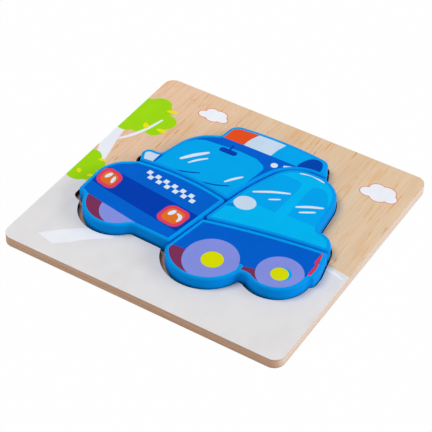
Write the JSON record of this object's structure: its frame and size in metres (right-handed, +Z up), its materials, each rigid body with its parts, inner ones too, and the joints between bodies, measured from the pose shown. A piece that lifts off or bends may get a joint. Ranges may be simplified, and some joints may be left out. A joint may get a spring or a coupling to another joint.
{
  "type": "wooden tray puzzle",
  "caption": "Shallow wooden tray with a car-shaped recess that holds chunky interlocking blocks, which lift straight out for a small child to fit together again.",
  "frame": {"origin": "on the table, under the middle of the tray", "axes": "+X along the tray's longer side towards the car's tail, +Y towards the car's roof, +Z up out of the tray"},
  "size_m": [0.15, 0.145, 0.0112],
  "materials": {
    "bare_wood": "bare plywood",
    "printed_wood": "satin printed plywood",
    "paint_mid_blue": "satin lacquer and print",
    "paint_sky_blue": "satin lacquer and print",
    "paint_light_blue": "satin lacquer and print",
    "paint_dark_blue": "satin lacquer and print"
  },
  "bodies": {
    "tray": {"tray_backing": "bare_wood", "tray_frame": "printed_wood"},
    "bonnet": {"bonnet_piece": "paint_mid_blue"},
    "windscreen": {"windscreen_piece": "paint_sky_blue"},
    "side_window": {"side_window_piece": "paint_light_blue"},
    "lower_side": {"lower_side_piece": "paint_dark_blue"}
  },
  "joints": [
    {"name": "bonnet_lift", "type": "slide", "parent": "tray", "child": "bonnet", "axis": [0, 0, 1], "range_m": [0, 0.04]},
    {"name": "windscreen_lift", "type": "slide", "parent": "tray", "child": "windscreen", "axis": [0, 0, 1], "range_m": [0, 0.04]},
    {"name": "side_window_lift", "type": "slide", "parent": "tray", "child": "side_window", "axis": [0, 0, 1], "range_m": [0, 0.04]},
    {"name": "lower_side_lift", "type": "slide", "parent": "tray", "child": "lower_side", "axis": [0, 0, 1], "range_m": [0, 0.04]}
  ]
}
